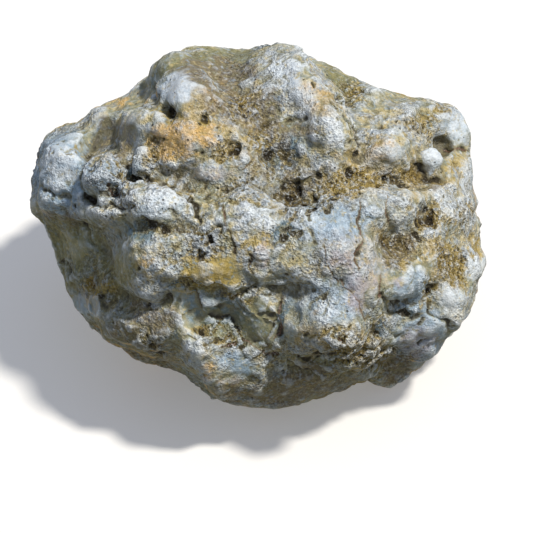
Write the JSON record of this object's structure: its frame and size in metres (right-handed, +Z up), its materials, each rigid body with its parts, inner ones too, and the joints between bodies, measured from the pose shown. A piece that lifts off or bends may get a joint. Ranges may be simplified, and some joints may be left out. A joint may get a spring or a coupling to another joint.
{
  "type": "quartz geode",
  "caption": "Whole, uncut quartz geode: a lumpy chalcedony nodule with rounded knobs, pits, crevices and flat fracture scars, which rests on a small flat spot.",
  "frame": {"origin": "middle of the bounding box, on the surface that the flat spot rests on", "axes": "+X along the nodule's length, +Z up from the flat spot; the show face looks forward (-Y) and up"},
  "size_m": [0.131, 0.1186, 0.0917],
  "materials": {
    "chalcedony": "rough weathered chalcedony crust, pale grey-white with ochre, olive and rust stains"
  },
  "bodies": {
    "root": {"geode": "chalcedony"}
  },
  "joints": []
}
